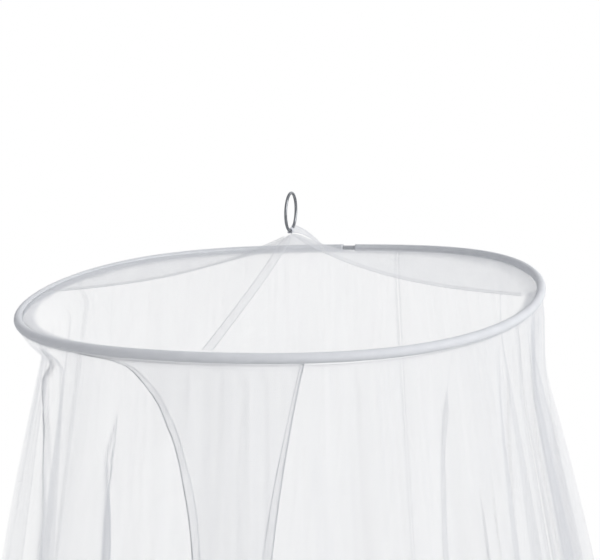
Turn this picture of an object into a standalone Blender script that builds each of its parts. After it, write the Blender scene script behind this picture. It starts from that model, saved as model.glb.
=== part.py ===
"""Mosquito net canopy: a sleeved hoop with a shallow net roof, hung from a steel ring, and a long net skirt.

Metres, +Z up. The origin is the inside top of the hanging ring, the point that a ceiling hook holds.
The skirt's entry is at -Y. An azimuth is counted in degrees from -Y, and grows towards +X.
"""

from math import cos, pi, radians, sin

import bpy
import numpy as np

# Hanging ring: welded steel wire, its plane upright and turned away from +Y.
RING_WIRE_RADIUS = 0.0018
RING_RADIUS = 0.0232
RING_TURN = radians(16.5)
RING_CENTRE_Z = RING_WIRE_RADIUS - RING_RADIUS
RING_SEGMENTS = 40

# Hoop: a springy rod, 0.64 m across, that hangs tilted and slightly out of flat.
HOOP_RADIUS = 0.32
HOOP_X = -0.0136
HOOP_Z = -0.1222
HOOP_TILT = 0.0157
HOOP_LOBES = ((2, 0.0018, 35), (3, 0.0044, 11))  # waves round the hoop, height, phase in degrees
HOOP_ROD_RADIUS = 0.0035
HOOP_SEGMENTS = 56
ROUND_SIDES = 8

# Sleeve: a cloth tunnel round the rod, open for a short stretch at the back.
SLEEVE_RADIUS = 0.0055
SLEEVE_WALL = 0.001
SLEEVE_OPENING = {"azimuth": 160.9, "half_angle": 1.7}

# Net: one thickness for every panel, and the room that neighbours leave.
NET = 0.001
PIECE_GAP = 0.0005
SKIRT_SEAM_GAP = 0.0014

# Roof: the cloth runs from under the loop to the sleeve, and sags between four seams.
PEAK_Z = -0.0492
PEAK_RADIUS = 0.0012
ROOF_ROWS = 9
ROOF_ROW_SPREAD = 1.75
ROOF_COLUMNS = 8
ROOF_GORE_SAG = 0.014
ROOF_RIM_LIFT = 0.006
ROOF_RIM_LIFT_TILT = 0.002
ROOF_RIM_SHARE = 0.06
ROOF_EDGE_DROP = 0.0035

# One row for each roof seam, with the tape that covers it: the seam's own slack, and how far the tape leans.
ROOF_SEAMS = (
    {"name": "front", "azimuth": -14.8, "slack": 0.005, "lean": 0},
    {"name": "right", "azimuth": 78.4, "slack": 0.0205, "lean": 0},
    {"name": "back", "azimuth": 167.4, "slack": -0.0065, "lean": 60},
    {"name": "left", "azimuth": 255.4, "slack": 0.0175, "lean": 0},
)
TAPE_WIDTH = 0.0112
TAPE_THICK = 0.001
TAPE_MOST_TURN = 25
TAPE_FULL_SHARE = 0.075  # how far out the tapes reach their full width and lean
TAPE_PEAK_WIDTH = 0.4

# Loop: the tape that joins the roof's peak to the ring.
LOOP_WIDTH = 0.007
LOOP_THICK = 0.001
LOOP_BOTTOM_Z = PEAK_Z + 0.0012
LOOP_ARC_STEPS = 8

# Skirt: four panels that flare as they fall, from the sleeve's underside to the hem.
SKIRT_DROP = 2.32
SKIRT_LIP = 0.008
SKIRT_ROWS = 12
SKIRT_ROW_SPREAD = 1.6
SKIRT_COLUMNS = 26
FLARE = 0.215
FLARE_TO_RIGHT = 0.04
FLARE_EASE = 0.07
FOLD_GROWTH = 0.65
# One row for each side that is drawn in: middle and half width in degrees, how far, the depth that takes it
# there, and how slowly it lets go again.
DRAW_INS = tuple(
    dict(zip(("azimuth", "half_width", "inward", "full_depth", "fade"), row))
    for row in (
        (-85, 70, 0.036, 0.035, 0.5),
        (85, 50, 0.024, 0.12, 0.3),
    )
)

# One row for each crease: azimuth at the hoop, how far it wanders by the hem, how deep it is there,
# half its width there, and half its width at the hoop. Widths and azimuths are in degrees.
CREASES = tuple(
    dict(zip(("azimuth", "drift", "depth", "half_width", "top_half_width"), row))
    for row in (
        (-167, -3, 0.115, 10, 7),
        (-149, 4, 0.090, 9, 6),
        (-128, -2, 0.130, 11, 8),
        (-107, 3, 0.100, 10, 7),
        (-79, -3, 0.085, 9, 7),
        (-57, 2, 0.150, 11, 9),
        (-33, -4, 0.120, 10, 7),
        (-12, 3, 0.075, 10, 8),
        (9, -2, 0.085, 10, 7),
        (31, -1, 0.135, 10, 8),
        (50, -2, 0.140, 9, 8),
        (67, 4, 0.095, 9, 7),
        (88, 2, 0.105, 9, 7),
        (109, -3, 0.125, 10, 8),
        (129, 3, 0.095, 9, 7),
        (147, 0, 0.120, 10, 8),
        (169, 3, 0.105, 10, 7),
    )
)

# One row for each panel: azimuths of its left and right edges at the hem, whether its left edge leans
# further left near the sleeve, how far that edge stands off the panel behind it, at the top and the hem,
# and the first crease that cuts into it. The front panel laps over the left one without its creases.
SKIRT_PANELS = (
    {"name": "skirt_front", "left": -13, "right": 55, "leans": 1, "stand_off": (0.004, 0.034), "first": 0},
    {"name": "skirt_right", "left": 55, "right": 147, "leans": 0, "stand_off": (0, 0), "first": -180},
    {"name": "skirt_back", "left": 147, "right": 240, "leans": 0, "stand_off": (0, 0), "first": -180},
    {"name": "skirt_left", "left": 240, "right": 355, "leans": 0, "stand_off": (0, 0), "first": -180},
)
STAND_OFF_AZIMUTHS = (4, 44)
FREE_EDGE_LEANS = ((15.8, 0.075), (3.0, 0.012), (9.5, 0.0015))  # degrees further left, and how fast they fade
FREE_EDGE_COLUMNS_SHARE = 0.4
INNER_EDGE_START = 9.3
INNER_EDGE_DEPTH = 0.2


def clear_scene():
    for item in list(bpy.data.objects):
        bpy.data.objects.remove(item, do_unlink=True)


def material(name, colour, roughness, metallic=0.0):
    """A plain Principled material with this linear colour."""
    made = bpy.data.materials.new(name)
    made.use_nodes = True
    shader = made.node_tree.nodes["Principled BSDF"]
    shader.inputs["Base Color"].default_value = (*colour, 1)
    shader.inputs["Roughness"].default_value = roughness
    shader.inputs["Metallic"].default_value = metallic
    return made


def mesh_object(name, points, faces, finish):
    mesh = bpy.data.meshes.new(name)
    mesh.from_pydata([tuple(map(float, p)) for p in points], [], faces)
    mesh.materials.append(finish)
    mesh.shade_smooth()
    mesh.set_sharp_from_angle(angle=radians(40))
    made = bpy.data.objects.new(name, mesh)
    bpy.context.scene.collection.objects.link(made)
    return made


def grid_faces(rows, columns, close_rows=False, close_columns=False):
    """Quads of a grid of rows x columns points, joined end to end where it is closed."""
    faces = []
    for i in range(rows if close_rows else rows - 1):
        for j in range(columns if close_columns else columns - 1):
            here, right = i * columns + j, i * columns + (j + 1) % columns
            up = ((i + 1) % rows) * columns
            faces.append((here, up + j, up + (j + 1) % columns, right))
    return faces


def give_thickness(item, thickness, offset):
    wall = item.modifiers.new("thickness", "SOLIDIFY")
    wall.thickness = thickness
    wall.offset = offset
    wall.use_even_offset = True


def hoop_height(turn):
    """Height of the hoop's centreline at an angle from +X: a tilt and two gentle waves."""
    height = HOOP_Z + HOOP_TILT * np.cos(turn)
    for waves, size, phase in HOOP_LOBES:
        height = height + size * np.cos(waves * (turn - radians(phase)))
    return height


def from_azimuth(azimuth):
    return np.radians(np.asarray(azimuth, float) - 90)


def lobe(offset, half_width):
    """A smooth bump, 1 in the middle and 0 from half_width outwards."""
    share = np.clip(np.abs(offset) / half_width, 0, 1)
    return np.cos(share * pi / 2) ** 2


def smooth(value):
    """An even rise from 0 to 1, level at both ends."""
    value = np.clip(value, 0, 1)
    return value * value * (3 - 2 * value)


def azimuth_gap(azimuth, middle):
    return (azimuth - middle + 180) % 360 - 180


def round_section(turn, radius, sides):
    """Points of a tube's round section at each angle of the hoop, as an array (angles, sides, 3)."""
    turn = turn[:, None]
    around = np.arange(sides)[None, :] * 2 * pi / sides
    reach = HOOP_RADIUS + radius * np.cos(around)
    return np.stack(
        np.broadcast_arrays(
            HOOP_X + reach * np.cos(turn),
            reach * np.sin(turn),
            hoop_height(turn) + radius * np.sin(around),
        ),
        axis=-1,
    )


def build_ring(finish):
    bpy.ops.mesh.primitive_torus_add(
        major_radius=RING_RADIUS,
        minor_radius=RING_WIRE_RADIUS,
        major_segments=RING_SEGMENTS,
        minor_segments=ROUND_SIDES,
        location=(0, 0, RING_CENTRE_Z),
        rotation=(pi / 2, 0, pi / 2 - RING_TURN),
    )
    ring = bpy.context.object
    ring.name = "hang_ring"
    ring.data.materials.append(finish)
    ring.data.shade_smooth()


def build_hoop(finish):
    turn = np.arange(HOOP_SEGMENTS) * 2 * pi / HOOP_SEGMENTS
    points = round_section(turn, HOOP_ROD_RADIUS, ROUND_SIDES).reshape(-1, 3)
    mesh_object("hoop", points, grid_faces(HOOP_SEGMENTS, ROUND_SIDES, True, True), finish)


def build_sleeve(finish):
    """The tunnel runs all the way round but for its opening, and its wall lies inside the drawn surface."""
    middle = from_azimuth(SLEEVE_OPENING["azimuth"])
    half = radians(SLEEVE_OPENING["half_angle"])
    turn = np.linspace(middle + half, middle + 2 * pi - half, HOOP_SEGMENTS + 1)
    points = round_section(turn, SLEEVE_RADIUS, ROUND_SIDES).reshape(-1, 3)
    sleeve = mesh_object("hoop_sleeve", points, grid_faces(len(turn), ROUND_SIDES, False, True), finish)
    give_thickness(sleeve, SLEEVE_WALL, -1)


def seams_passed(azimuth):
    """How many seams lie between the front one and an azimuth, with the share of the gore it is in."""
    stops = [seam["azimuth"] for seam in ROOF_SEAMS] + [ROOF_SEAMS[0]["azimuth"] + 360]
    return np.interp((azimuth - stops[0]) % 360 + stops[0], stops, range(len(stops)))


def roof_point(azimuth, share):
    """Middle of the roof cloth at an azimuth and a share of the way from the peak to the sleeve.

    A straight run from peak to sleeve, less the seams' slack, less the sag between seams (none on a seam),
    with a short lift where the cloth climbs to the sleeve.
    """
    azimuth, share = np.broadcast_arrays(np.asarray(azimuth, float), np.asarray(share, float))
    turn = from_azimuth(azimuth)
    clear = SLEEVE_RADIUS + NET / 2 + PIECE_GAP
    edge_drop = ROOF_EDGE_DROP * np.cos(turn)
    reach = HOOP_RADIUS - np.sqrt(clear**2 - edge_drop**2)
    edge_x = HOOP_X + reach * np.cos(turn)
    edge_y = reach * np.sin(turn)
    edge_z = hoop_height(turn) - edge_drop
    lift = ROOF_RIM_LIFT + ROOF_RIM_LIFT_TILT * np.cos(turn)
    passed = seams_passed(azimuth)
    slack = [seam["slack"] for seam in ROOF_SEAMS] + [ROOF_SEAMS[0]["slack"]]
    climb = smooth((share - 1 + ROOF_RIM_SHARE) / ROOF_RIM_SHARE)
    height = PEAK_Z + (edge_z - lift - PEAK_Z) * share + lift * climb
    height = height - np.interp(passed, range(len(slack)), slack) * np.sin(pi * share**0.8)
    height = height - ROOF_GORE_SAG * np.abs(np.sin(pi * passed)) * np.sin(pi * share)
    return np.stack([edge_x * share, edge_y * share, height], axis=-1)


def roof_rows():
    """Shares of the way out for the rows up to the climb at the sleeve, closer together at the peak."""
    first = PEAK_RADIUS / HOOP_RADIUS
    return first + (1 - ROOF_RIM_SHARE - first) * (np.arange(ROOF_ROWS + 1) / ROOF_ROWS) ** ROOF_ROW_SPREAD


def build_roof_panel(name, left, right, finish):
    """A gore between two seams. Its edges stay half a gap from each seam at every height."""
    share = np.append(roof_rows(), [1 - ROOF_RIM_SHARE / 2, 1])[:, None]
    inset = np.degrees(PIECE_GAP / 2 / (HOOP_RADIUS * share))
    across = np.linspace(0, 1, ROOF_COLUMNS + 1)[None, :]
    azimuth = left + inset + (right - left - 2 * inset) * across
    points = roof_point(azimuth, share).reshape(-1, 3)
    panel = mesh_object(name, points, grid_faces(len(share), ROOF_COLUMNS + 1), finish)
    give_thickness(panel, NET, 0)


def build_seam_tape(seam, finish):
    """A flat tape along a seam, over the cloth from its second row out, narrower where the tapes meet.

    A leaning tape turns up on one edge on its way out.
    """
    shares = roof_rows()[1:]
    centre = roof_point(seam["azimuth"], shares)
    along = np.gradient(centre, axis=0)
    along /= np.linalg.norm(along, axis=1)[:, None]
    spread = np.minimum(np.degrees(TAPE_WIDTH / 2 / (HOOP_RADIUS * shares)), TAPE_MOST_TURN)
    side = roof_point(seam["azimuth"] + spread, shares) - roof_point(seam["azimuth"] - spread, shares)
    side /= np.linalg.norm(side, axis=1)[:, None]
    up = np.cross(along, side)
    shares = shares[:, None]
    lean = radians(seam["lean"]) * smooth(shares / TAPE_FULL_SHARE)
    half = TAPE_WIDTH / 2 * np.clip(shares / TAPE_FULL_SHARE, TAPE_PEAK_WIDTH, 1)
    middle = centre + up * (NET / 2 + PIECE_GAP + TAPE_THICK / 2 + half * np.sin(lean))
    width = (side * np.cos(lean) + up * np.sin(lean)) * half
    points = np.stack([middle - width, middle + width], axis=1).reshape(-1, 3)
    tape = mesh_object(f"seam_tape_{seam['name']}", points, grid_faces(len(shares), 2), finish)
    give_thickness(tape, TAPE_THICK, 0)


def build_loop(finish):
    """A closed band round the ring's lowest wire: an arc over the wire, straight sides and a flat bottom."""
    inner = RING_WIRE_RADIUS + PIECE_GAP
    outer = inner + LOOP_THICK
    wire_z = RING_CENTRE_Z - RING_RADIUS
    arc = np.linspace(0, pi, LOOP_ARC_STEPS + 1)

    def outline(radius, bottom):
        over = [(radius * cos(a), wire_z + radius * sin(a)) for a in arc]
        return over + [(-radius, bottom), (radius, bottom)]

    outside = outline(outer, LOOP_BOTTOM_Z)
    inside = outline(inner, LOOP_BOTTOM_Z + LOOP_THICK)
    count = len(outside)
    points = []
    for lengthwise in (-LOOP_WIDTH / 2, LOOP_WIDTH / 2):
        for across, height in outside + inside:
            points.append((
                across * cos(RING_TURN) + lengthwise * sin(RING_TURN),
                -across * sin(RING_TURN) + lengthwise * cos(RING_TURN),
                height,
            ))
    faces = []
    for i in range(count):
        j = (i + 1) % count
        near, far = (i, j), (i + 2 * count, j + 2 * count)
        faces.append((near[0], near[1], far[1], far[0]))
        faces.append((near[1] + count, near[0] + count, far[0] + count, far[1] + count))
        faces.append((near[1], near[0], near[0] + count, near[1] + count))
        faces.append((far[0], far[1], far[1] + count, far[0] + count))
    mesh_object("peak_loop", points, [face[::-1] for face in faces], finish)


def skirt_radius(azimuth, depth, first_crease=-180):
    """Distance of the net from the hoop's axis, that far round and that far below the sleeve.

    The flare eases off with depth, every crease cuts into it as a smooth trough that deepens and widens
    on the way down, and the two sides are drawn in below the hoop.
    """
    flare = FLARE + FLARE_TO_RIGHT * np.sin(np.radians(azimuth))
    radius = HOOP_RADIUS + flare * (depth - FLARE_EASE * depth**2)
    fall = depth / SKIRT_DROP
    for crease in CREASES:
        if crease["azimuth"] < first_crease:
            continue
        middle = crease["azimuth"] + crease["drift"] * fall
        half = crease["top_half_width"] + (crease["half_width"] - crease["top_half_width"]) * fall
        radius = radius - crease["depth"] * fall**FOLD_GROWTH * lobe(azimuth_gap(azimuth, middle), half)
    for side in DRAW_INS:
        drawn_in = side["inward"] * smooth(depth / side["full_depth"]) * np.exp(-depth / side["fade"])
        radius = radius - drawn_in * lobe(azimuth_gap(azimuth, side["azimuth"]), side["half_width"])
    return radius


def free_edge(panel, depth):
    """How far left of its hem azimuth a leaning edge lies: most of it just under the sleeve, then slowly less."""
    return panel["leans"] * sum(lean * np.exp(-depth / fade) for lean, fade in FREE_EDGE_LEANS)


def panel_azimuth(panel, across, depth):
    """Azimuth of a panel's columns. Only those near a hanging edge lean with it."""
    left, right = panel["left"], panel["right"]
    inner_edge = INNER_EDGE_START * np.exp(-depth / INNER_EDGE_DEPTH) if panel["name"] == "skirt_left" else 0
    azimuth = left + (right + inner_edge - left) * across
    return azimuth - free_edge(panel, depth) * np.clip(1 - across / FREE_EDGE_COLUMNS_SHARE, 0, 1)


def build_skirt_panel(panel, finish):
    fall = (np.arange(SKIRT_ROWS + 1) / SKIRT_ROWS) ** SKIRT_ROW_SPREAD
    depth = np.append(0, SKIRT_LIP + (SKIRT_DROP - SKIRT_LIP) * fall)[:, None]
    across = np.linspace(0, 1, SKIRT_COLUMNS + 1)[None, :]
    azimuth = panel_azimuth(panel, across, depth)
    radius = skirt_radius(azimuth, depth, panel["first"])
    inset = np.degrees(SKIRT_SEAM_GAP / 2 / radius)
    azimuth = azimuth + inset * (1 - 2 * across)
    top, hem = panel["stand_off"]
    whole, gone = STAND_OFF_AZIMUTHS
    laps = smooth((gone - azimuth) / (gone - whole))
    radius = radius + (top + (hem - top) * depth / SKIRT_DROP) * laps
    turn = from_azimuth(azimuth)
    height = hoop_height(turn) - SLEEVE_RADIUS - PIECE_GAP - depth
    points = np.stack([HOOP_X + radius * np.cos(turn), radius * np.sin(turn), height], axis=-1)
    cloth = mesh_object(
        panel["name"], points.reshape(-1, 3), grid_faces(len(depth), SKIRT_COLUMNS + 1), finish
    )
    give_thickness(cloth, NET, 0)


def main():
    clear_scene()
    steel = material("ring_steel", (0.12, 0.12, 0.125), 0.35, 1.0)
    rod = material("hoop_rod", (0.22, 0.23, 0.24), 0.45)
    band = material("sleeve_cloth", (0.74, 0.76, 0.78), 0.9)
    net = material("net_cloth", (0.86, 0.87, 0.88), 0.9)
    build_ring(steel)
    build_hoop(rod)
    build_sleeve(band)
    build_loop(band)
    for number, seam in enumerate(ROOF_SEAMS):
        following = ROOF_SEAMS[(number + 1) % len(ROOF_SEAMS)]
        span = (following["azimuth"] - seam["azimuth"]) % 360
        name = f"roof_{seam['name']}_to_{following['name']}"
        build_roof_panel(name, seam["azimuth"], seam["azimuth"] + span, net)
        build_seam_tape(seam, band)
    for panel in SKIRT_PANELS:
        build_skirt_panel(panel, net)


main()
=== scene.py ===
"""Mosquito net canopy: steel ring, sleeved hoop, four-gore net roof with seam tapes, and a flared net
skirt.

Metres, +Z up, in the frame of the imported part: the origin is the inside top of the hanging ring. An azimuth
is counted in degrees from -Y, where the skirt's lapped entry is, and grows towards +X.
"""

from math import ceil, cos, pi, radians, sin

import bmesh
import bpy
import numpy as np
from bpy.props import FloatProperty, FloatVectorProperty, IntProperty, PointerProperty
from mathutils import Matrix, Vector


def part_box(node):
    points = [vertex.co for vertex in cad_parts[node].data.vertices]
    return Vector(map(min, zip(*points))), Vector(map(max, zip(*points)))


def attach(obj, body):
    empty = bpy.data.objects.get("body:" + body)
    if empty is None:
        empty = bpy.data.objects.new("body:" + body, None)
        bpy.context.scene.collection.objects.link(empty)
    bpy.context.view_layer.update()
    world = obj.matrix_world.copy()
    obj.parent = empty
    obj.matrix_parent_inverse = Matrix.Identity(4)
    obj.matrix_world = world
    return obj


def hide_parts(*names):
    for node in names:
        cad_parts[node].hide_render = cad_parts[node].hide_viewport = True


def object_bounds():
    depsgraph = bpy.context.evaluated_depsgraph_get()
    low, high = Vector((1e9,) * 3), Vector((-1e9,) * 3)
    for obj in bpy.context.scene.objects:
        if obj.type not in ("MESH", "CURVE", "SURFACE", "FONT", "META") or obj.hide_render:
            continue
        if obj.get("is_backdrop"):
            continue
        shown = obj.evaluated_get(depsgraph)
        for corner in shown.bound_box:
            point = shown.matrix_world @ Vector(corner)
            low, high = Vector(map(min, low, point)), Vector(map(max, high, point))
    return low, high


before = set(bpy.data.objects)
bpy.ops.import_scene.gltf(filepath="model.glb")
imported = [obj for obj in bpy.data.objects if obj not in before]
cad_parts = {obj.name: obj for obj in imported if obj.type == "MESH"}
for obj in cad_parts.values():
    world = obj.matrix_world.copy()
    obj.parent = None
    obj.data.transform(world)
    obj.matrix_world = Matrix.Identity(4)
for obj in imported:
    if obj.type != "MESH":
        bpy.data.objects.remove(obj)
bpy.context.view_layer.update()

bl_info = {
    "name": "Net Canopy",
    "version": (1, 0, 0),
    "blender": (4, 5, 0),
    "location": "3D View > Sidebar > Canopy",
    "description": "Builds a hoop canopy of mosquito net piece by piece",
    "category": "Add Mesh",
}

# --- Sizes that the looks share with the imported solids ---

HOOP_ROD_RADIUS = 0.0035
RING_WIRE_RADIUS = 0.0018
SLEEVE_RADIUS = 0.0055
PIECE_GAP = 0.0005
NET_ROOM = 0.001  # thickness that the solids keep for each cloth

hoop_low, hoop_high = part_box("hoop")
HOOP_X = (hoop_low.x + hoop_high.x) / 2
HOOP_RADIUS = (hoop_high.x - hoop_low.x) / 2 - HOOP_ROD_RADIUS
HOOP_Z = -0.1222
HOOP_TILT = 0.0157
HOOP_LOBES = ((2, 0.0018, 35), (3, 0.0044, 11))  # waves round the hoop, height, phase in degrees

ring_low, ring_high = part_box("hang_ring")
RING_RADIUS = (ring_high.z - ring_low.z) / 2 - RING_WIRE_RADIUS
RING_CENTRE_Z = (ring_high.z + ring_low.z) / 2
RING_TURN = radians(16.5)

SLEEVE_OPENING_AZIMUTH = 160.9
SLEEVE_OPENING_HALF = 1.7

PEAK_Z = -0.0492
PEAK_RADIUS = 0.0012
ROOF_GORE_SAG = 0.014
ROOF_RIM_LIFT = 0.006
ROOF_RIM_LIFT_TILT = 0.002
ROOF_RIM_SHARE = 0.06
ROOF_EDGE_DROP = 0.0035
ROOF_SEAMS = (
    {"name": "front", "azimuth": -14.8, "slack": 0.005, "lean": 0},
    {"name": "right", "azimuth": 78.4, "slack": 0.0205, "lean": 0},
    {"name": "back", "azimuth": 167.4, "slack": -0.0065, "lean": 60},
    {"name": "left", "azimuth": 255.4, "slack": 0.0175, "lean": 0},
)
TAPE_WIDTH = 0.0112
TAPE_THICK = 0.001
TAPE_MOST_TURN = 25
TAPE_FULL_SHARE = 0.075
TAPE_PEAK_WIDTH = 0.4
TAPE_START_SHARE = 0.0238

LOOP_WIDTH = 0.007
LOOP_THICK = 0.001
LOOP_BOTTOM_Z = PEAK_Z + 0.0012

SKIRT_DROP = 2.32
SKIRT_SEAM_GAP = 0.0014
FLARE = 0.215
FLARE_TO_RIGHT = 0.04
FLARE_EASE = 0.07
FOLD_GROWTH = 0.65
# One row for each side that is drawn in: middle and half width in degrees, how far, the depth that takes it
# there, and how slowly it lets go again.
DRAW_INS = tuple(
    dict(zip(("azimuth", "half_width", "inward", "full_depth", "fade"), row))
    for row in (
        (-85, 70, 0.036, 0.035, 0.5),
        (85, 50, 0.024, 0.12, 0.3),
    )
)
CREASES = tuple(
    dict(zip(("azimuth", "drift", "depth", "half_width", "top_half_width"), row))
    for row in (
        (-167, -3, 0.115, 10, 7),
        (-149, 4, 0.090, 9, 6),
        (-128, -2, 0.130, 11, 8),
        (-107, 3, 0.100, 10, 7),
        (-79, -3, 0.085, 9, 7),
        (-57, 2, 0.150, 11, 9),
        (-33, -4, 0.120, 10, 7),
        (-12, 3, 0.075, 10, 8),
        (9, -2, 0.085, 10, 7),
        (31, -1, 0.135, 10, 8),
        (50, -2, 0.140, 9, 8),
        (67, 4, 0.095, 9, 7),
        (88, 2, 0.105, 9, 7),
        (109, -3, 0.125, 10, 8),
        (129, 3, 0.095, 9, 7),
        (147, 0, 0.120, 10, 8),
        (169, 3, 0.105, 10, 7),
    )
)
SKIRT_PANELS = (
    {"name": "skirt_front", "left": -13, "right": 55, "leans": 1, "stand_off": (0.004, 0.034), "first": 0},
    {"name": "skirt_right", "left": 55, "right": 147, "leans": 0, "stand_off": (0, 0), "first": -180},
    {"name": "skirt_back", "left": 147, "right": 240, "leans": 0, "stand_off": (0, 0), "first": -180},
    {"name": "skirt_left", "left": 240, "right": 355, "leans": 0, "stand_off": (0, 0), "first": -180},
)
STAND_OFF_AZIMUTHS = (4, 44)
FREE_EDGE_LEANS = ((15.8, 0.075), (3.0, 0.012), (9.5, 0.0015))  # degrees further left, and how fast they fade
FREE_EDGE_COLUMNS_SHARE = 0.4
INNER_EDGE_START = 9.3
INNER_EDGE_DEPTH = 0.2

# --- Sizes of the fine surface ---

NET_THICK = 0.0005
FOLD_UNDER_GAP = 0.0009
SEAM_ALLOWANCE = 0.0035
EDGE_HEM = 0.0085
BOTTOM_HEM = 0.014
SKIRT_ROWS = 112
SKIRT_HEM_ROWS = 5
SKIRT_ROW_SPREAD = 1.45
SKIRT_COLUMN = 0.0042  # distance between columns at the hem
EDGE_PLACES = (1.0, 0.86, 0.5, 0.14)  # columns of a turned-under edge, as shares of its width
SIDE_COLUMNS = len(EDGE_PLACES)
INNER_HEM_WIDTH = (0.45, 0.65)  # the inner hem's width at the sleeve and its growth, as shares of a whole hem
INNER_HEM_OPENS = 0.2
ROOF_ROWS = 150
ROOF_COLUMNS = 73
ROOF_SPREAD = 0.6  # below 1, the rows lie closer together near the peak
ROOF_REACH = 1.0012  # the roof cloth runs on to meet the sleeve

# Small gathers where the net is sewn to the sleeve, and loose waves that grow towards the hem. Columns: waves
# round the hoop, depth of the wave, how fast it dies away or grows (metres below the sleeve).
GATHER_WAVES = 9
GATHER_RANGE = (88, 236)
GATHER_SIZE = 0.00042
GATHER_FADE = 0.16
LOOSE_WAVES = 9
LOOSE_RANGE = (21, 74)
LOOSE_SIZE = 0.0032
WAVE_SEED = 11

# Folds, where the net doubles back on itself. One row each: panel, azimuth at the sleeve, 50, 110 and 200
# mm lower, where it starts and how long it takes to open (m below the sleeve), width of the overlap at the
# start and once open, which side lies on top (1: the side towards growing azimuth), and how dense its edges
# look.
FOLD_DEPTHS = (0.0, 0.05, 0.11, 0.2)
FOLDS = tuple(
    dict(zip(("panel", "route", "start", "opening", "width", "open_width", "over", "edge"), row))
    for row in (
        ("skirt_left", (-57.9, -64.3, -61.5, -60.0), 0.000, 0.020, 0.003, 0.004, 1, 1.2),
        ("skirt_left", (-54.5, -62.6, -60.8, -58.8), 0.002, 0.040, 0.002, 0.005, -1, 1.4),
        ("skirt_left", (-30.0, -32.4, -34.4, -33.8), 0.050, 0.130, 0.001, 0.012, -1, 6.5),
        ("skirt_left", (-96.0, -94.0, -92.0, -90.0), 0.350, 0.300, 0.001, 0.010, 1, 0.3),
        ("skirt_front", (33.9, 32.2, 30.6, 30.0), 0.000, 0.080, 0.002, 0.005, -1, 0.5),
        ("skirt_front", (52.0, 51.7, 51.1, 50.0), 0.010, 0.100, 0.001, 0.003, 1, 0.5),
        ("skirt_front", (39.5, 39.3, 39.1, 38.8), 0.100, 0.120, 0.001, 0.003, 1, 0.3),
        ("skirt_front", (36.5, 36.5, 36.4, 36.7), 0.120, 0.080, 0.001, 0.003, -1, 0.3),
        ("skirt_right", (59.0, 58.0, 57.0, 56.6), 0.004, 0.060, 0.002, 0.004, 1, 0.8),
        ("skirt_right", (66.0, 65.0, 64.0, 63.5), 0.010, 0.120, 0.001, 0.004, -1, 0.5),
        ("skirt_right", (75.0, 74.0, 73.0, 71.5), 0.040, 0.150, 0.001, 0.004, 1, 0.4),
        ("skirt_right", (97.0, 97.5, 98.0, 99.0), 0.350, 0.300, 0.001, 0.010, -1, 0.3),
        ("skirt_right", (121.0, 121.0, 120.0, 119.0), 0.450, 0.300, 0.001, 0.010, 1, 0.3),
        ("skirt_back", (166.0, 166.5, 167.0, 168.0), 0.500, 0.300, 0.001, 0.011, -1, 0.3),
        ("skirt_back", (190.0, 189.5, 189.0, 188.0), 0.400, 0.300, 0.001, 0.009, 1, 0.3),
        ("skirt_back", (214.0, 214.5, 215.0, 216.0), 0.500, 0.300, 0.001, 0.010, -1, 0.3),
    )
)
FOLD_RUN_BACK = 2.3
FOLD_LIFT = 0.0036
FOLD_BELL = 0.72  # overlap in widths of the bell that carries it
FOLD_GROWS_BELOW = 0.3
FOLD_GROWS_BY = 0.012  # metres wider for each metre lower
FOLD_TURN = 0.53  # distance from a fold's middle to its turned edges, in overlap widths
FOLD_LINE = 0.2  # half width of a turned edge's line, likewise
FOLD_CREASE_HASTE = 4  # how much sooner the edges show than the fold opens

# Stitches: half their thickness, their share of the pitch, how clear of the cloth they lie, the angles
# round the sleeve of its seams to the skirt and to the roof, and the corners of one stitch's faces.
STITCH_RADIUS = 0.00019
STITCH_SHARE = 0.75
STITCH_CLEAR = 0.0005
SLEEVE_SEAM_ANGLES = (-58, 128)
STITCH_FACES = (
    *((0, 1 + side, 1 + (side + 1) % 4, 0) for side in range(4)),
    *((1 + side, 5 + side, 5 + (side + 1) % 4, 1 + (side + 1) % 4) for side in range(4)),
    *((9, 5 + (side + 1) % 4, 5 + side, 9) for side in range(4)),
)


# How many times wider than usual the threads look: at the sleeve's seams, on the turned edges of hems, on
# the inner free edge, at the roof's rim and peak, on each gore from the front one round, on the tapes, and
# where the whole cloth is gathered (panel, azimuths as for a fold, half width in degrees, depth it starts
# at, amount). On the roof this is partly painted light and shade. The gores are thinner at the front, which
# is painted light where the roof faces the lamps, and denser at the back, which is painted shade where it
# faces away. The rim is dense partly for its sewn seam and partly as a painted shade line against the sleeve.
SEAM_DENSITY = 5.0
SEAM_DENSE_DEPTH = 0.0012
EDGE_DENSITY = 9.0
PLAIN_EDGE_DENSITY = 0.6
INNER_LINE_DENSITY = 34.0
INNER_LINE_FADE = 0.13
# Partly the sewn seam, partly a painted shade line where the roof meets the sleeve.
RIM_SEAM_AND_PAINTED_SHADE = (4.5, 1.2, 3.0, 4.5)
RIM_WIDTH = 0.0115
RIM_EDGE = 0.003
PEAK_DENSITY = 1.3
PEAK_DENSE_SHARE = 0.1
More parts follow.
